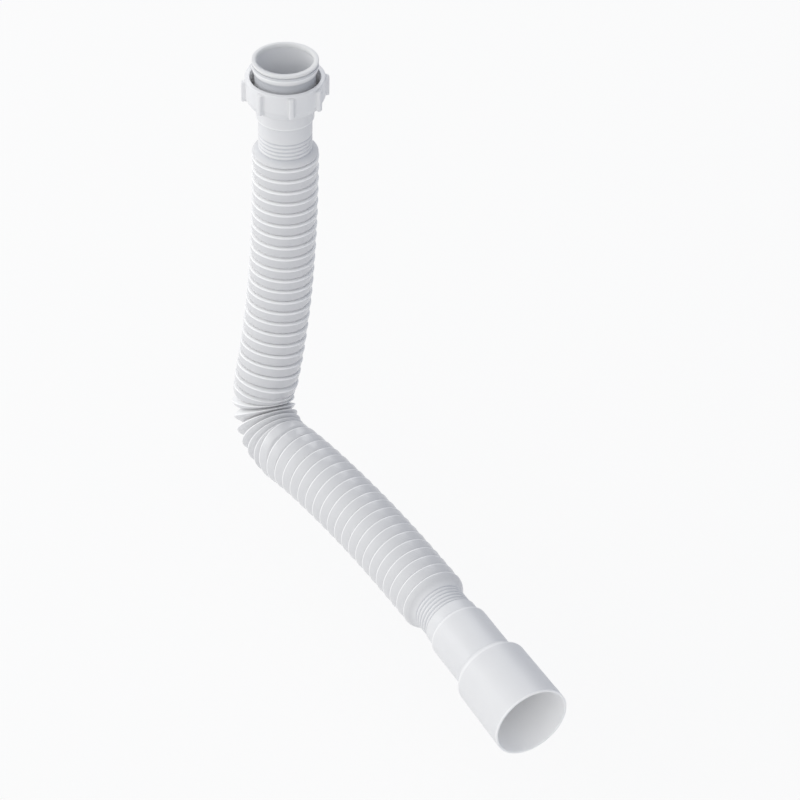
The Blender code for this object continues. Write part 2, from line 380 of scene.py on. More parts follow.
@dataclass(frozen=True)
class FloorPaint:
    """A plain pale floor that the camera sees as white where no shadow falls.

    Attributes:
        name: The material's name.
        colour: The paint's colour.
        shadow_depth: How much of the shadow shows.
        mottle_scale: Mottles per metre.
        mottle_share: How much of the mottled tone shows at most.
        mottle_tone: The mottled tone as a share of the colour.
        roughness: The paint's roughness.
    """

    name: str = "pale_floor_paint"
    colour: Colour = (0.92, 0.92, 0.92)
    shadow_depth: float = 0.13
    mottle_scale: float = 30.0
    mottle_share: float = 0.06
    mottle_tone: float = 0.95
    roughness: float = 0.85

    def make(self) -> bpy.types.Material:
        """Return the finished material."""
        material = bpy.data.materials.new(self.name)
        material.use_nodes = True
        shading = Shading(material.node_tree)
        place = shading.node("ShaderNodeTexCoord").outputs["Object"]
        mottle = shading.noise(place, self.mottle_scale, 3.0)
        darker = tuple(self.mottle_tone * part for part in self.colour)
        colour = shading.mix(
            mottle * self.mottle_share, (*self.colour, 1.0), (*darker, 1.0)
        )
        surface = shading.node(
            "ShaderNodeBsdfPrincipled", None, {"Base Color": colour, "Roughness": self.roughness}
        )
        glow = shading.node("ShaderNodeEmission", None, {"Color": (1, 1, 1, 1), "Strength": 1.0})
        path = shading.node("ShaderNodeLightPath")
        seen = shading.signal(path, "Is Camera Ray")
        glossy = shading.signal(path, "Is Glossy Ray")
        through = shading.signal(path, "Is Transmission Ray")
        share = (seen + glossy + through) * (1.0 - self.shadow_depth)
        blend = shading.node(
            "ShaderNodeMixShader", None, {0: share, 1: surface.outputs[0], 2: glow.outputs[0]}
        )
        shading.node("ShaderNodeOutputMaterial", None, {"Surface": blend.outputs[0]})
        return material


@dataclass(frozen=True)
class Stretch:
    """One stretch of the hose's route, which turns evenly to its end direction.

    Attributes:
        length: Length along the centreline, in metres.
        fall: Angle from straight down towards +X at its end, in degrees.
        sway: Angle out of the upright plane towards +Y at its end, in degrees.
    """

    length: float
    fall: float
    sway: float


@dataclass
class Route:
    """The hose's centreline, walked in short steps from the inlet."""

    stretches: tuple[Stretch, ...] = (
        Stretch(0.072, 0.0, 0.0),
        Stretch(0.087, 0.7, -4.5),
        Stretch(0.077, 4.1, -13.4),
        Stretch(0.014, -2.8, -11.6),
        Stretch(0.028, 60.1, -4.7),
        Stretch(0.028, 100.9, 3.1),
        Stretch(0.016, 89.4, 7.6),
        Stretch(0.023, 86.3, 6.8),
        Stretch(0.085, 86.2, 1.5),
        Stretch(0.080, 87.6, -1.9),
    )
    step: float = 0.0005
    reach: float = 0.640
    fold_pitch: float = 0.00855
    flattening: float = 0.0030
    most_flattened: float = 0.15

    def __post_init__(self) -> None:
        """Walk the centreline once."""
        ends = np.cumsum([0.0] + [part.length for part in self.stretches])
        self.ends = ends
        self.falls = np.radians([0.0] + [part.fall for part in self.stretches])
        self.sways = np.radians([0.0] + [part.sway for part in self.stretches])
        self.marks = np.arange(0.0, self.reach, self.step)
        ahead = self.heading(self.marks[:-1] + self.step / 2.0) * self.step
        self.points = np.vstack([np.zeros((1, 3)), np.cumsum(ahead, axis=0)])

    def heading(self, distance: np.ndarray) -> np.ndarray:
        """Return the unit vectors that point along the route at these distances."""
        fall = np.interp(distance, self.ends, self.falls)
        sway = np.interp(distance, self.ends, self.sways)
        across = np.cos(sway)
        return np.stack([np.sin(fall) * across, np.sin(sway), -np.cos(fall) * across], axis=-1)

    def place(self, distance: np.ndarray) -> tuple[np.ndarray, np.ndarray, np.ndarray]:
        """Find where the route is and how it is turned.

        Args:
            distance: Distances along the route.

        Returns:
            The centres and the two cross axes at those distances.
        """
        columns = [np.interp(distance, self.marks, self.points[:, axis]) for axis in range(3)]
        centre = np.stack(columns, axis=-1)
        fall = np.interp(distance, self.ends, self.falls)
        first = np.stack([np.cos(fall), np.zeros_like(fall), np.sin(fall)], axis=-1)
        second = np.cross(self.heading(distance), first)
        return centre, first, second

    def bending(self, distance: np.ndarray) -> np.ndarray:
        """Return the curvature vectors of folds centred at these distances."""
        half = self.fold_pitch / 2.0
        turn = self.heading(distance + half) - self.heading(distance - half)
        return turn / self.fold_pitch

    def flattened(self, offset: np.ndarray, bending: np.ndarray) -> np.ndarray:
        """Flatten rings across the bend, as a tube does where it is bent sharply.

        Args:
            offset: The rings' points, measured from their centres.
            bending: The curvature vector at each ring.

        Returns:
            The flattened rings.
        """
        sharpness = np.linalg.norm(bending, axis=1)
        across = bending / np.maximum(sharpness, 1e-9)[:, None]
        share = np.minimum(self.flattening * sharpness, self.most_flattened)
        reach = np.einsum("rsk,rk->rs", offset, across) * share[:, None]
        return offset - across[:, None, :] * reach[:, :, None]


@dataclass(frozen=True)
class Corner:
    """One corner of the wall's outline.

    Attributes:
        distance: Distance along the centreline.
        radius: Distance from the centreline.
        fillet: How far its rounding reaches along both sides.
        fold: The centre of the rigid fold it belongs to, if any.
        groove: How deep in a groove it lies, from 0 to 1, which paints shade there, or below 0
            down to -1 on a proud edge, which paints a highlight there.
        thin: 1 where the wall is blown thin, otherwise 0.
    """

    distance: float
    radius: float
    fillet: float = 0.0
    fold: Optional[float] = None
    groove: float = 0.0
    thin: float = 0.0


@dataclass
class Outline:
    """The wall's outline as corners, rounded into rings that are swept on a route."""

    corners: list[Corner] = field(default_factory=list)
    fillet_steps: int = 3

    def add(self, *corners: Corner) -> None:
        """Add corners at the end."""
        self.corners.extend(corners)

    def rounded(self) -> list[Corner]:
        """Return the outline with each filleted corner as a short curve."""
        made = []
        last = len(self.corners) - 1
        for index, corner in enumerate(self.corners):
            if corner.fillet <= 0.0 or index in (0, last):
                made.append(corner)
                continue
            made.extend(self.curve(self.corners[index - 1], corner, self.corners[index + 1]))
        return made

    def curve(self, before: Corner, corner: Corner, after: Corner) -> list[Corner]:
        """Round one corner.

        Args:
            before: The corner before it.
            corner: The corner to round.
            after: The corner after it.

        Returns:
            The points of a curve that leaves both sides smoothly.
        """
        middle = np.array([corner.distance, corner.radius])
        ends = []
        for other in (before, after):
            away = np.array([other.distance, other.radius]) - middle
            span = float(np.hypot(*away))
            ends.append(middle + away * min(corner.fillet / span, 0.46))
        made = []
        for step in range(self.fillet_steps + 1):
            share = step / self.fillet_steps
            point = (
                ends[0] * (1.0 - share) ** 2
                + middle * 2.0 * share * (1.0 - share)
                + ends[1] * share**2
            )
            made.append(replace(corner, distance=float(point[0]), radius=float(point[1])))
        return made

    def rings(self, route: Route, sides: int) -> np.ndarray:
        """Sweep the rounded outline along a route.

        A ring of a fold moves with the fold's centre, so a fold keeps its moulded
        width on the outside of a bend and is squeezed on the inside.

        Args:
            route: The centreline.
            sides: How many points each ring has.

        Returns:
            An array of rings, points and coordinates.
        """
        corners = self.rounded()
        distance = np.array([corner.distance for corner in corners])
        radius = np.array([corner.radius for corner in corners])
        hub = np.array([c.distance if c.fold is None else c.fold for c in corners])
        centre, first, second = route.place(hub)
        angle = np.linspace(0.0, 2.0 * math.pi, sides, endpoint=False)
        spoke = (
            first[:, None, :] * np.cos(angle)[None, :, None]
            + second[:, None, :] * np.sin(angle)[None, :, None]
        )
        bending = route.bending(hub)
        offset = route.flattened(spoke * radius[:, None, None], bending)
        squeeze = 1.0 - np.einsum("rsk,rk->rs", offset, bending)
        along = route.heading(hub) * (distance - hub)[:, None]
        shift = along[:, None, :] * np.minimum(squeeze, 1.0)[:, :, None]
        return centre[:, None, :] + offset + shift

    def values(self) -> np.ndarray:
        """Return each ring's groove, thinness and distance along the route."""
        return np.array([(c.groove, c.thin, c.distance) for c in self.rounded()])


def closed_loft(
    name: str, rings: np.ndarray, values: np.ndarray, finish: bpy.types.Material
) -> bpy.types.Object:
    """Bridge rings in a closed loop, like a tube's wall.

    Args:
        name: The new object's name.
        rings: An array of rings, points and coordinates.
        values: The groove, thin and run values of each ring.
        finish: The material it gets.

    Returns:
        The new object, shaded smooth.
    """
    count, sides = rings.shape[:2]
    index = np.arange(count * sides).reshape(count, sides)
    following = np.roll(index, -1, axis=0)
    quads = np.stack(
        [index, np.roll(index, -1, axis=1), np.roll(following, -1, axis=1), following], axis=-1
    ).reshape(-1, 4)
    data = bpy.data.meshes.new(name)
    data.from_pydata(rings.reshape(-1, 3).tolist(), [], quads.tolist())
    for column, value in enumerate(("groove", "thin", "run")):
        attribute = data.attributes.new(value, "FLOAT", "POINT")
        spread = np.repeat(values[:, column].astype(np.float32), sides)
        attribute.data.foreach_set("value", spread)
    data.shade_smooth()
    data.materials.append(finish)
    data.update()
    made = bpy.data.objects.new(name, data)
    bpy.context.scene.collection.objects.link(made)
    return made


@dataclass
class InletSeal:
    """The soft ring that seals the inlet against the waste outlet."""

    bore_r: float = 0.0181
    width: float = 0.0032
    thickness: float = 0.00277
    edge: float = 0.0011
    lip: float = 0.0012
    foot: float = 0.0012
    sides: int = 128

    @property
    def outer_r(self) -> float:
        """Return the ring's outer radius."""
        return self.bore_r + self.width

    def section(self) -> Outline:
        """Return the ring's section, with its depth as the distance along the axis."""
        low = self.thickness
        outline = Outline(fillet_steps=6)
        outline.add(
            Corner(0.0, (self.bore_r + self.outer_r) / 2.0),
            Corner(0.0, self.outer_r, self.edge),
            Corner(self.lip, self.outer_r, 0.0007),
            # The underside's corners get painted shade.
            Corner(low, self.outer_r - self.foot, 0.0002, groove=0.6),
            Corner(low, self.bore_r, 0.0001, groove=0.5),
            Corner(0.0, self.bore_r, self.edge),
        )
        return outline

    def build(self) -> bpy.types.Object:
        """Return the finished ring."""
        outline = self.section()
        rings = outline.rings(Route(stretches=(Stretch(0.1, 0.0, 0.0),)), self.sides)
        ring = closed_loft("seal_ring", rings, outline.values(), SEAL_RUBBER.make())
        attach(ring, Body.HOSE.value)
        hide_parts("inlet_seal")
        return ring


@dataclass
class InletCuff:
    """The collar, the stepped neck and the fine ribs above the bellows.

    The collar has a narrow strip under the seal, a proud band and a cone that
    falls to the neck.  Shade is painted on the strip, the cone, the top of the neck,
    the throat's start, the bore and the ribs' roots; highlights are painted on the
    strip's lower edge, the band and the edges of the neck's steps.  Distances run
    down the axis from the seal's top face.
    """

    mouth: float = 0.0028
    collar_r: float = 0.0212
    band: float = 0.0032
    cone: float = 0.0033
    neck_r: float = 0.0195
    strip: float = 0.0011
    strip_edge: float = 0.0003
    band_edge: float = 0.0012
    neck: float = 0.0212
    shaded_neck: float = 0.0040
    shade_fade: float = 0.0030
    neck_taper: float = 0.0040
    middle_r: float = 0.0186
    middle: float = 0.0073
    middle_step: float = 0.0010
    neck_highlight_run: float = 0.0015
    middle_highlight_run: float = 0.0012
    throat_r: float = 0.0174
    throat: float = 0.0105
    rib_pitch: float = 0.0028
    rib_depth: float = 0.0009
    rib_lead: float = 0.08
    rib_root: float = 0.25
    rib_crest: float = 0.62
    ribs: int = 4
    wall: float = 0.0015

    def add_to(self, outer: Outline, inner: Outline, valley_r: float) -> float:
        """Add the cuff's outside and inside.

        Args:
            outer: The outline of the outside.
            inner: The outline of the inside.
            valley_r: The bellows' radius in its grooves.

        Returns:
            The distance at which the bellows starts.
        """
        strip_end = self.mouth + self.strip
        band_end = self.mouth + self.band
        neck_start = band_end + self.cone
        shade_end = neck_start + self.shaded_neck
        neck_end = neck_start + self.neck
        middle_start = neck_end + self.neck_taper
        middle_end = middle_start + self.middle
        throat_start = middle_end + self.middle_step
        throat_end = throat_start + self.throat
        # Groove values above 0 paint shade on the strip, the cone, the top of the neck and the
        # throat's start; values below 0 paint highlights on the strip's lower edge, the band and
        # the edges of the neck's steps.
        outer.add(
            Corner(self.mouth, self.neck_r - self.wall + 0.0004),
            Corner(self.mouth, self.collar_r, 0.0003, groove=0.6),
            Corner(strip_end, self.collar_r, groove=0.45),
            Corner(strip_end + self.strip_edge, self.collar_r + 0.0001, groove=-0.8),
            Corner(band_end, self.collar_r - 0.0002, self.band_edge, groove=-0.3),
            Corner(band_end + self.cone / 2.0, (self.collar_r + self.neck_r) / 2.0, groove=0.6),
            Corner(neck_start, self.neck_r, 0.0014, groove=1.1),
            Corner(shade_end, self.neck_r, groove=0.8),
            Corner(shade_end + self.shade_fade, self.neck_r),
            Corner(neck_end - self.neck_highlight_run, self.neck_r),
            Corner(neck_end, self.neck_r, 0.0006, groove=-0.8),
            Corner(middle_start, self.middle_r, 0.0010),
            Corner(middle_end - self.middle_highlight_run, self.middle_r),
            Corner(middle_end, self.middle_r, 0.0004, groove=-0.6),
            Corner(throat_start, self.throat_r, 0.0004, groove=0.2),
        )
        end = fine_ribs(outer, throat_end, self.ribs, self)
        # The bore's corners get painted shade.
        inner.add(
            Corner(self.mouth, self.neck_r - self.wall, groove=0.5),
            Corner(neck_end, self.neck_r - self.wall, 0.0010, groove=0.6),
            Corner(middle_start, self.middle_r - self.wall, 0.0010),
            Corner(middle_end - self.wall / 2.0, self.middle_r - self.wall, 0.0004),
            Corner(throat_start, self.throat_r - self.wall, 0.0004),
            Corner(end, valley_r - self.wall, 0.0004, groove=0.6),
        )
        return end


def fine_ribs(outer: Outline, start: float, count: int, cuff: "InletCuff") -> float:
    """Add a row of fine ribs that ends in a groove.

    Args:
        outer: The outline they are added to.
        start: Where the first groove begins.
        count: How many ribs there are.
        cuff: The cuff whose radius, pitch, depth and rib form they take.

    Returns:
        The distance at which the row ends.
    """
    pitch = cuff.rib_pitch
    crest_r = cuff.throat_r
    root_r = crest_r - cuff.rib_depth
    # Each rib's root and the groove that ends the row get painted shade.
    for index in range(count):
        base = start + index * pitch
        outer.add(
            Corner(base - cuff.rib_lead * pitch, crest_r, 0.0003),
            Corner(base + cuff.rib_root * pitch, root_r, 0.0004, groove=0.8),
            Corner(base + cuff.rib_crest * pitch, crest_r, 0.0004),
        )
    end = start + (count + cuff.rib_root) * pitch
    outer.add(
        Corner(end - (cuff.rib_root + cuff.rib_lead) * pitch, crest_r, 0.0003),
        Corner(end, root_r, 0.0003, groove=0.8),
    )
    return end


@dataclass
class Bellows:
    """The moulded folds: a steep shoulder, a band that falls to a heel, a groove.

    Attributes:
        valley_r: The radius in a groove.
        depth: The height of a crest over it.
        heel_drop: How far a band falls from its crest to its heel.
        bend_first: The first fold with the bend's pitch.
        bend_folds: How many folds have it.
        lead_folds: How many of those keep the plain form.
        shoulder_run: The length of a shoulder along the axis.
        heel_run: The length from a heel to the groove.
        bend_shoulder_run: The length of a shoulder where the bend opens the folds.
        bend_heel_run: The length from a heel to the groove there.
        bend_extra_depth: How much deeper the grooves are there.
        ledge_highlight_width: How far down a shoulder the painted highlight on its proud edge
            reaches.
        ledge_highlight_fade: How far along a band that painted highlight fades.
        belly_place: Where a band starts to round down, as a share of its length.
        belly_drop: Its fall there, as a share of the heel's.
        lead_length: The length of the dome before the first fold.
        lead_shoulder: The length of the dome's shoulder.
        last_heel: The length from the last heel to the groove.
    """

    valley_r: float = 0.0173
    depth: float = 0.0045
    heel_drop: float = 0.0014
    pitch: float = 0.00855
    count: int = 49
    bend_first: int = 20
    bend_folds: int = 8
    lead_folds: int = 2
    bend_pitch: float = 0.00776
    shoulder_run: float = 0.0006
    heel_run: float = 0.0003
    bend_shoulder_run: float = 0.0024
    bend_heel_run: float = 0.0021
    bend_extra_depth: float = 0.0010
    ledge_highlight_width: float = 0.0024
    ledge_highlight_fade: float = 0.0011
    belly_place: float = 0.62
    belly_drop: float = 0.38
    lead_length: float = 0.0048
    lead_shoulder: float = 0.0024
    last_heel: float = 0.0034
    wall: float = 0.0009
    crest_edge: float = 0.0006
    heel_edge: float = 0.0008
    groove_fillet: float = 0.0002
    cavity_edge: float = 0.0018
    bore_edge: float = 0.0004

    def add_to(self, outer: Outline, inner: Outline, start: float) -> float:
        """Add the lead dome and every fold.

        Args:
            outer: The outline of the outside.
            inner: The outline of the inside.
            start: Where the lead dome begins.

        Returns:
            The distance at which the last groove ends.
        """
        crest_r = self.valley_r + self.depth
        heel_r = crest_r - self.heel_drop
        cavity_r = heel_r - self.wall
        at = start + self.lead_length
        outer.add(
            Corner(start + self.lead_shoulder, crest_r, 0.0016, thin=0.5),
            Corner(at - self.heel_run, heel_r, self.heel_edge, thin=1.0),
        )
        inner.add(Corner(start + self.lead_length / 2.0, cavity_r, 0.0008, thin=1.0))
        for index in range(self.count):
            bent = self.bend_first <= index < self.bend_first + self.bend_folds
            pitch = self.bend_pitch if bent else self.pitch
            heel_run = self.last_heel if index == self.count - 1 else self.heel_run
            fold = at + pitch / 2.0
            opened = bent and index >= self.bend_first + self.lead_folds
            rise = self.bend_shoulder_run if opened else self.shoulder_run
            fall = self.bend_heel_run if opened else heel_run
            floor_r = self.valley_r - (self.bend_extra_depth if opened else 0.0)
            belly = at + rise + self.belly_place * (pitch - rise - fall)
            ledge_r = crest_r - self.ledge_highlight_width
            ledge = at + rise * (ledge_r - floor_r) / (crest_r - floor_r)
            # The groove's floor gets a little painted shade; the shoulder's outer edge and the
            # crest get a painted highlight.
            outer.add(
                Corner(at, floor_r, self.groove_fillet, None, 0.1, 0.6),
                Corner(ledge, ledge_r, 0.0, fold, -1.0, 0.0),
                Corner(at + rise, crest_r, self.crest_edge, fold, -1.0, 0.0),
                Corner(at + rise + self.ledge_highlight_fade, crest_r - 0.0001, 0.0, fold, 0.0, 1.0),
                Corner(belly, crest_r - self.belly_drop * self.heel_drop, 0.0, fold, 0.0, 1.0),
                Corner(at + pitch - fall, heel_r, self.heel_edge, fold, 0.0, 1.0),
            )
            # The fold's inside gets painted shade.
            inner.add(
                Corner(at, floor_r - self.wall, self.bore_edge, None, 0.0, 1.0),
                Corner(fold, cavity_r, self.cavity_edge, None, 0.8, 1.0),
            )
            at += pitch
        return at


@dataclass
class OutletCuff:
    """The fine ribs, the short step and the two push-in sleeves."""

    ribs: int = 5
    step_r: float = 0.0182
    step: float = 0.0092
    small_r: float = 0.0200
    chamfer: float = 0.0018
    small: float = 0.0350
    cone: float = 0.0055
    large_r: float = 0.0250
    flare: float = 0.0006
    large: float = 0.0480
    wall: float = 0.0015
    rim_edge: float = 0.0004
    rim_highlight_band: float = 0.0012
    edge_highlight_band: float = 0.0016
    rib_wall: float = 0.0009

    def add_to(self, outer: Outline, inner: Outline, start: float, inlet: InletCuff) -> float:
        """Add the cuff's outside and inside.

        Args:
            outer: The outline of the outside.
            inner: The outline of the inside.
            start: Where the ribs begin.
            inlet: The inlet cuff, whose ribs have the same radius and pitch.

        Returns:
            The distance of the outlet's end face.
        """
        at = fine_ribs(outer, start, self.ribs, inlet)
        rib_bore_r = inlet.throat_r - inlet.rib_depth - self.rib_wall
        inner.add(
            Corner(start, rib_bore_r, 0.0004),
            Corner(at, rib_bore_r, 0.0004),
            Corner(at + self.wall, self.step_r - self.wall, 0.0004),
        )
        outer.add(Corner(at + inlet.rib_depth, self.step_r, 0.0004))
        shoulder_r = self.large_r - self.flare
        # The last number of each stretch is its groove value: above 0 paints shade at its end,
        # below 0 paints a highlight on the chamfer's and the cone's edges; each inner corner gets
        # painted light.
        stretches = (
            (self.step, self.step_r, 0.0005, 0.1),
            (self.chamfer, self.small_r, 0.0007, -0.6),
            (self.small, self.small_r, 0.0012, 0.15),
            (self.cone, shoulder_r, 0.0014, -0.6),
        )
        for length, radius, fillet, groove in stretches:
            at += length
            outer.add(Corner(at, radius, fillet, None, groove))
            if groove < 0.0:
                outer.add(Corner(at + self.edge_highlight_band, radius))
            inner.add(Corner(at + self.wall / 2.0, radius - self.wall, fillet, None, -0.5))
        at += self.large
        # The rim's end face and edges get a painted highlight.
        outer.add(
            Corner(at - self.rim_highlight_band, self.large_r),
            Corner(at, self.large_r, self.rim_edge, None, -1.0),
            Corner(at, self.large_r - 0.45 * self.wall, 0.0, None, -1.0),
        )
        inner.add(
            Corner(at, self.large_r - self.wall, self.rim_edge, None, -1.0),
            Corner(at, self.large_r - 0.55 * self.wall, 0.0, None, -1.0),
        )
        return at


@dataclass
class WastePipe:
    """The one-piece moulded hose with its cuffs."""

    inlet: InletCuff = field(default_factory=InletCuff)
    bellows: Bellows = field(default_factory=Bellows)
    outlet: OutletCuff = field(default_factory=OutletCuff)
    sides: int = 92

    def build(self) -> bpy.types.Object:
        """Return the finished hose."""
        outer = Outline(fillet_steps=3)
        inner = Outline(fillet_steps=1)
        at = self.inlet.add_to(outer, inner, self.bellows.valley_r)
        at = self.bellows.add_to(outer, inner, at)
        self.outlet.add_to(outer, inner, at, self.inlet)
        route = Route(fold_pitch=self.bellows.pitch)
        rings = np.concatenate(
            [outer.rings(route, self.sides), inner.rings(route, self.sides)[::-1]]
        )
        values = np.concatenate([outer.values(), inner.values()[::-1]])
        pipe = closed_loft("hose_moulding", rings, values, HOSE_PLASTIC.make())
        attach(pipe, Body.HOSE.value)
        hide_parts("waste_pipe")
        return pipe


@dataclass
class UnionNut:
    """The captive nut with its grip lugs, foot taper, thread and inner flange.

    Depths run down from its top face.  Each curve is a short row of points along one
    edge: first how deep they lie, then how far they stand in or out.

    Attributes:
        chamfer_curve: The top edge, in shares of the chamfer.
        notch_curve: The notch over a lug: metres below its top, share of the notch.
        lug_top_curve: A lug's top: metres below it, share of the standout.
        lug_foot_curve: A lug's foot: metres past it, share of the standout.
        bore_painted_light: The groove value in the bore, below 0, which paints the bore lighter
            as painted light.
        taper_steps: Where a lug's rows lie from the start of the foot taper.
        lug_foot_steps: Where they lie up from the lug's foot.
        foot_curve: The foot's edge: metres up from it, metres outwards.
        mouth_curve: The bore's mouth: depth in metres, metres outwards.
        lug_side_curve: A lug's side: shares of its edge, share of the standout.
        lug_crown: The half-width of a lug's flat crown, as a share of its own.
    """

    top_depth: float = 0.0123
    height: float = 0.0177
    body_r: float = 0.0257
    foot_inset: float = 0.0021
    foot_taper: float = 0.0045
    chamfer: float = 0.0008
    bore_r: float = 0.0225
    flange: float = 0.0032
    flange_r: float = 0.0199
    lugs: int = 8
    lug_standout: float = 0.0025
    lug_width: float = 0.0030
    lug_edge: float = 0.0005
    lug_top_drop: float = 0.0010
    notch: float = 0.0008
    lug_foot_rise: float = 0.0020
    first_lug: float = -21.0
    thread_pitch: float = 0.00231
    thread_depth: float = 0.0011
    thread_lead: float = 0.0012
    thread_rows: int = 9
    thread_crest: float = 0.18
    thread_flank: float = 0.64
    thread_run_in: float = 0.0010
    thread_run_out: float = 0.0008
    thread_start: float = 0.05
    flat_steps: int = 9
    chamfer_curve: Curve = ((0.0, 1.0), (0.08, 0.62), (0.38, 0.20), (1.0, 0.0))
    notch_curve: Curve = ((-0.0001, 0.10), (0.0002, 0.90), (0.0006, 1.0))
    lug_top_curve: Curve = ((0.0008, 0.60), (0.0010, 0.84), (0.0014, 0.97), (0.0020, 1.0))
    lug_foot_curve: Curve = ((0.00012, 0.5), (0.00016, 0.0))
    taper_steps: tuple[float, ...] = (0.0, 0.0006)
    lug_foot_steps: tuple[float, ...] = (0.0012, 0.0003)
    foot_curve: Curve = ((0.0003, 0.0001), (0.0001, -0.00015), (0.0, -0.0005))
    mouth_curve: Curve = ((0.0005, 0.0), (0.0001, 0.0002), (0.0, 0.0005))
    lug_side_curve: Curve = ((-0.35, 0.0), (0.0, 0.42), (0.25, 0.86), (1.0, 0.985))
    lug_crown: float = 0.3
    taper_lead: float = 0.0012
    lug_overlap: float = 0.00003
    lug_foot_share: float = 0.9
    flange_edge: float = 0.0003
    bore_painted_light: float = -0.6

    def angles(self) -> tuple[np.ndarray, np.ndarray]:
        """Find the angles of a ring's points.

        Returns:
            The angles, close together over each lug, and each point's share of the
            lug's standout.
        """
        half = self.lug_width / 2.0
        side = [self.lug_edge * inwards - half for inwards, _ in self.lug_side_curve]
        across = np.array([*side, -self.lug_crown * half])
        share = np.array([*(out for _, out in self.lug_side_curve), 1.0])
        across = np.concatenate([across, [0.0], -across[::-1]])
        share = np.concatenate([share, [1.0], share[::-1]])
        root = across[-1] / self.body_r
        turn = 2.0 * math.pi / self.lugs
        flats = np.linspace(root, turn - root, self.flat_steps + 2)[1:-1]
        angles = []
        shares = []
        for lug in range(self.lugs):
            centre = math.radians(self.first_lug) + turn * lug
            angles.extend(centre + across / self.body_r)
            angles.extend(centre + flats)
            shares.extend(share)
            shares.extend(np.zeros(self.flat_steps))
        return np.array(angles), np.array(shares)

    def outside(self) -> list[tuple[float, float, float]]:
        """Return the outside's rows: depth, body radius and lug standout."""
        foot = self.height
        taper = foot - self.foot_taper
        lug_top = self.lug_top_drop
        lug_foot = foot - self.lug_foot_rise
        soft = self.chamfer
        stand = self.lug_standout

        def body(depth: float) -> float:
            """Return the body's radius at a depth on the foot taper."""
            share = max(depth - taper, 0.0) / self.foot_taper
            return self.body_r - self.foot_inset * share

        rows = [
            (depth * soft, self.body_r - inset * soft, 0.0) for depth, inset in self.chamfer_curve
        ]
        for below, share in self.notch_curve:
            rows.append((lug_top + below, self.body_r, -share * self.notch))
        for below, share in self.lug_top_curve:
            rows.append((lug_top + below, self.body_r, share * stand))
        rows.append((taper - self.taper_lead, self.body_r, stand))
        steps = [taper + below for below in self.taper_steps]
        steps.extend(lug_foot - above for above in self.lug_foot_steps)
        for depth in steps:
            reach = self.body_r + stand - body(depth)
            rows.append((depth, body(depth) - self.lug_overlap, reach))
        rim = self.lug_foot_share * stand + self.body_r - body(lug_foot)
        rows.append((lug_foot, body(lug_foot), rim))
        for below, share in self.lug_foot_curve:
            rows.append((lug_foot + below, body(lug_foot), share * stand))
        for above, out in self.foot_curve:
            rows.append((foot - above, body(foot) + out, 0.0))
        return rows

    def thread(self, angles: np.ndarray) -> tuple[list[np.ndarray], list[np.ndarray]]:
        """Make the rows of the threaded bore, from the flange up to the mouth.

        Args:
            angles: The angles of a ring's points.

        Returns:
            The radius and the depth of every point, row by row.
        """
        low = self.height - self.flange
        lead = self.thread_lead
        count = int((low - lead) / self.thread_pitch * self.thread_rows)
        radii = []
        depths = []
        for row in range(count + 1):
            depth = low + (lead - low) * row / count
            turn = depth / self.thread_pitch - angles / (2.0 * math.pi)
            wave = np.abs((turn % 1.0) - 0.5) * 2.0
            ridge = np.clip((wave - self.thread_crest) / self.thread_flank, 0.0, 1.0)
            run_in = (low - depth) / self.thread_run_in
            run_out = (depth - lead) / self.thread_run_out + self.thread_start
            fade = min(1.0, run_in, run_out)
            radii.append(self.bore_r + self.thread_depth * (1.0 - ridge) * max(fade, 0.0))
            depths.append(np.full_like(angles, depth))
        return radii, depths

    def build(self) -> bpy.types.Object:
        """Return the finished nut."""
        angles, shares = self.angles()
        radii = []
        depths = []
        for depth, radius, standout in self.outside():
            radii.append(radius + shares * standout)
            depths.append(np.full_like(angles, depth))
        edge = self.flange_edge
        plain = (
            (self.height, self.flange_r + edge),
            (self.height - edge, self.flange_r),
            (self.height - self.flange + edge, self.flange_r),
            (self.height - self.flange, self.flange_r + edge),
        )
        for depth, radius in plain:
            radii.append(np.full_like(angles, radius))
            depths.append(np.full_like(angles, depth))
        bore_radii, bore_depths = self.thread(angles)
        radii.extend(bore_radii)
        depths.extend(bore_depths)
        for depth, out in self.mouth_curve:
            radii.append(np.full_like(angles, self.bore_r + out))
            depths.append(np.full_like(angles, depth))
        radius = np.array(radii)
        depth = np.array(depths)
        rings = np.stack(
            [radius * np.cos(angles), radius * np.sin(angles), -self.top_depth - depth], axis=-1
        )
        values = np.zeros((len(rings), 3))
        # The bore gets painted light, lighter than the outside.
        values[:, 0] = self.bore_painted_light * (radius.mean(axis=1) < self.bore_r + self.thread_depth)
        nut = closed_loft("nut_moulding", rings[::-1], values[::-1], NUT_PLASTIC.make())
        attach(nut, Body.NUT.value)
        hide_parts("union_nut")
        return nut


@dataclass
class Softbox:
    """One large soft lamp.

    Attributes:
        name: The lamp's name.
        aim: The point it faces.
        offset: Its place from that point.
        size: Its width and height.
        power: Its strength in watts.
        gloss_only: Whether it only shows as a gleam on glossy edges.
    """

    name: str
    aim: tuple[float, float, float]
    offset: tuple[float, float, float]
    size: tuple[float, float]
    power: float
    gloss_only: bool = False

    def build(self) -> bpy.types.Object:
        """Return the lamp, aimed at its point."""
        data = bpy.data.lights.new(self.name, "AREA")
        data.shape = "RECTANGLE"
        data.size, data.size_y = self.size
        data.energy = self.power
        made = bpy.data.objects.new(self.name, data)
        bpy.context.scene.collection.objects.link(made)
        made.visible_diffuse = not self.gloss_only
        made.location = Vector(self.aim) + Vector(self.offset)
        made.rotation_euler = Vector(self.offset).to_track_quat("Z", "Y").to_euler()
        return made


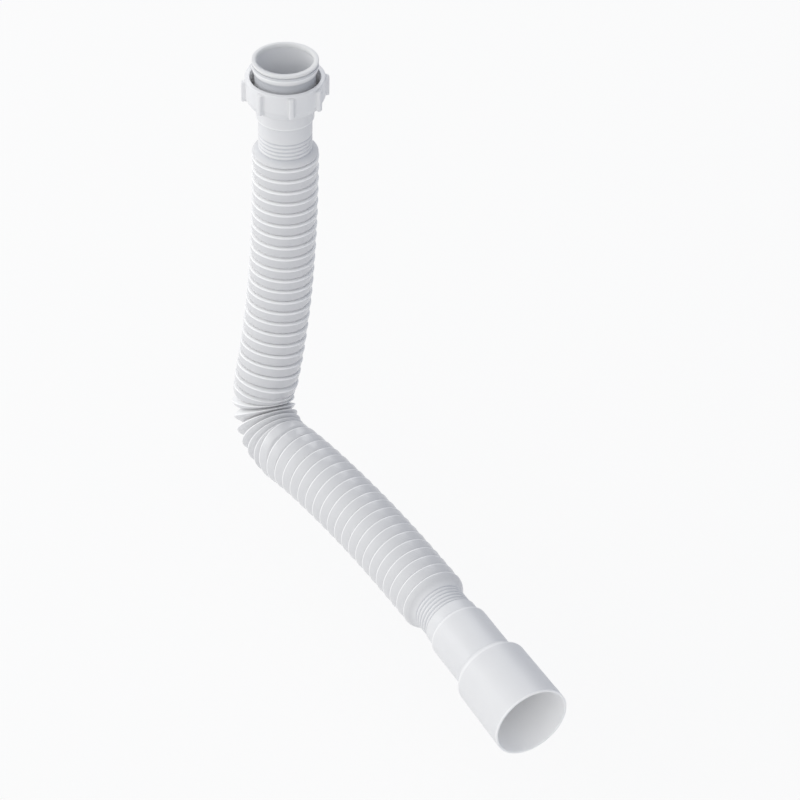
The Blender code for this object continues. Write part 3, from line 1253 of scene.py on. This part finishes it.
@dataclass
class Studio:
    """The floor, the soft light, the white surroundings and the camera.

    Attributes:
        floor_drop: The floor's depth under the part's lowest point.
        camera_turn: The camera's rotation as XYZ Euler angles in radians.
        sensor_width: Its sensor's width in millimetres.
        focal_pixels: Its focal length in pixels of a frame of frame_pixels.
        centre: The point that the lamps face.
        ambient: The strength of the surroundings' light.
        dim_side: Their colour on the dim side.
        bright_side: Their colour on the bright side.
        bright_way: The direction in which they are brightest.
    """

    floor_drop: float = 0.060
    floor_half: float = 6.0
    camera_place: tuple[float, float, float] = (1.42413, -0.79872, 0.98557)
    camera_turn: tuple[float, float, float] = (0.9155, -0.02193, 1.02871)
    sensor_width: float = 36.0
    focal_pixels: float = 3015.585
    frame_pixels: float = 800.0
    centre: tuple[float, float, float] = (0.15, -0.01, -0.16)
    ambient: float = 1.0
    dim_side: Colour = (0.15, 0.18, 0.26)
    bright_side: Colour = (1.21, 1.21, 1.20)
    bright_way: tuple[float, float, float] = (0.12, -0.99, 0.03)

    def build_floor(self, lowest: float) -> bpy.types.Object:
        """Lay the floor under the hanging pipe.

        Args:
            lowest: The height of the part's lowest point.

        Returns:
            The floor.
        """
        half = self.floor_half
        data = bpy.data.meshes.new("floor")
        corners = [(-half, -half, 0.0), (half, -half, 0.0), (half, half, 0.0), (-half, half, 0.0)]
        data.from_pydata(corners, [], [(0, 1, 2, 3)])
        data.materials.append(FloorPaint().make())
        floor = bpy.data.objects.new("floor", data)
        bpy.context.scene.collection.objects.link(floor)
        floor.location.z = lowest - self.floor_drop
        floor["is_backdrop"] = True
        return floor

    def build_world(self) -> None:
        """Surround the part with soft light that dims towards the camera's right."""
        world = bpy.data.worlds.new("surroundings")
        bpy.context.scene.world = world
        world.use_nodes = True
        shading = Shading(world.node_tree)
        place = shading.node("ShaderNodeTexCoord").outputs["Generated"]
        side = shading.node(
            "ShaderNodeVectorMath",
            {"operation": "DOT_PRODUCT"},
            {0: place, 1: self.bright_way},
        )
        towards = shading.signal(side, "Value") * 0.5 + 0.5
        tone = shading.mix(towards, (*self.dim_side, 1.0), (*self.bright_side, 1.0))
        light = shading.node(
            "ShaderNodeBackground", None, {"Color": tone, "Strength": self.ambient}
        )
        white = shading.node(
            "ShaderNodeBackground", None, {"Color": (1, 1, 1, 1), "Strength": 1.0}
        )
        path = shading.node("ShaderNodeLightPath")
        seen = shading.signal(path, "Is Camera Ray")
        glossy = shading.signal(path, "Is Glossy Ray")
        through = shading.signal(path, "Is Transmission Ray")
        share = seen + glossy + through
        blend = shading.node(
            "ShaderNodeMixShader", None, {0: share, 1: light.outputs[0], 2: white.outputs[0]}
        )
        shading.node("ShaderNodeOutputWorld", None, {"Surface": blend.outputs[0]})

    def build_lamps(self) -> list[bpy.types.Object]:
        """Return the soft lamps."""
        side = Softbox("side_softbox", self.centre, (-1.15, -1.00, 0.42), (0.8, 0.8), 3.8)
        back = Softbox("back_softbox", self.centre, (-1.15, 0.45, 0.95), (1.4, 1.0), 9.0, True)
        return [side.build(), back.build()]

    def build_camera(self) -> bpy.types.Object:
        """Return the camera that sees the part as the photograph does."""
        data = bpy.data.cameras.new("camera")
        data.sensor_width = self.sensor_width
        data.lens = self.focal_pixels / self.frame_pixels * self.sensor_width
        data.clip_start = 0.05
        data.clip_end = 60.0
        camera = bpy.data.objects.new("camera", data)
        bpy.context.scene.collection.objects.link(camera)
        camera.location = self.camera_place
        camera.rotation_euler = Euler(self.camera_turn, "XYZ")
        bpy.context.scene.camera = camera
        return camera

    def build(self, lowest: float) -> None:
        """Build the whole surroundings for a part whose lowest point is given."""
        self.build_camera()
        self.build_floor(lowest)
        self.build_world()
        self.build_lamps()
        bpy.context.scene.view_settings.view_transform = "Standard"


def clear_scene() -> None:
    """Remove everything that the file opens with."""
    for old in list(bpy.data.objects):
        bpy.data.objects.remove(old, do_unlink=True)


def main() -> None:
    """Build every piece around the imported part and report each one."""
    logging.basicConfig(level=logging.INFO, format="%(message)s")
    clear_scene()
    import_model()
    cad_low, cad_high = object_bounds()
    Studio().build(cad_low.z)
    builders: tuple[Callable[[], bpy.types.Object], ...] = (
        InletSeal().build,
        WastePipe().build,
        UnionNut().build,
    )
    for build in builders:
        piece = build()
        LOG.info("%s: %d faces", piece.name, len(piece.data.polygons))


if __name__ == "__main__":
    main()
